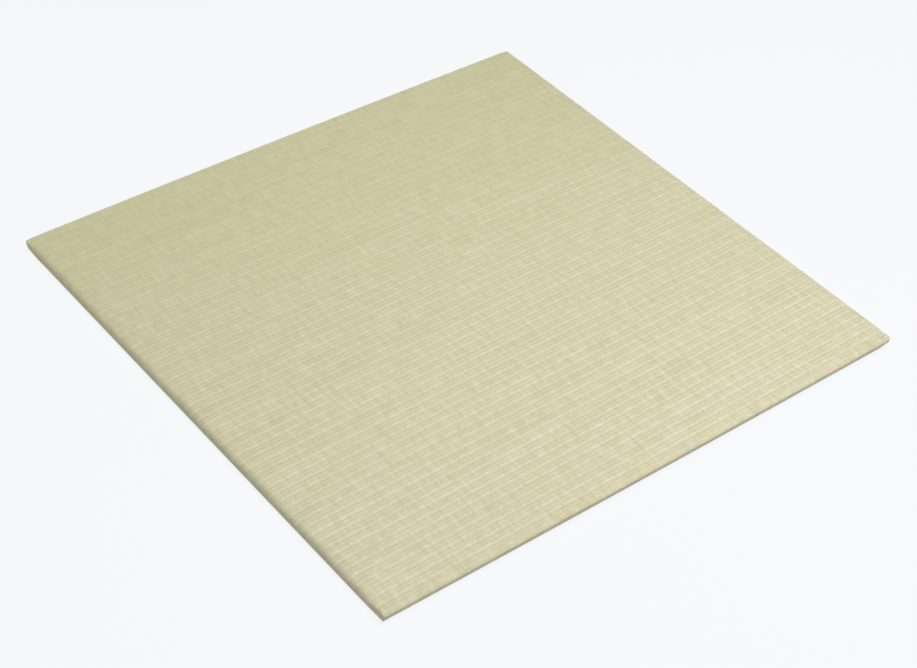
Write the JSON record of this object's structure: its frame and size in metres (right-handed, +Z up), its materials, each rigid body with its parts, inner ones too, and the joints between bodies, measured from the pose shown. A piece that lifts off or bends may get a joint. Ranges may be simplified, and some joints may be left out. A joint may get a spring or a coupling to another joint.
{
  "type": "tatami mat",
  "caption": "Flat square borderless floor mat with a ribbed cover of woven rush, folded at the front and back and rolled over at the sides.",
  "frame": {"origin": "middle of the flat underside, on the floor", "axes": "+X along the ribs and the front edge, +Y along the rush strands towards the back edge, +Z up through the thickness"},
  "size_m": [0.82, 0.82, 0.015],
  "materials": {
    "woven_rush": "dry rush strands in a close ribbed plain weave, straw with a little green, matt with a faint sheen along the strands"
  },
  "bodies": {
    "root": {"tatami_mat": "woven_rush"}
  },
  "joints": []
}
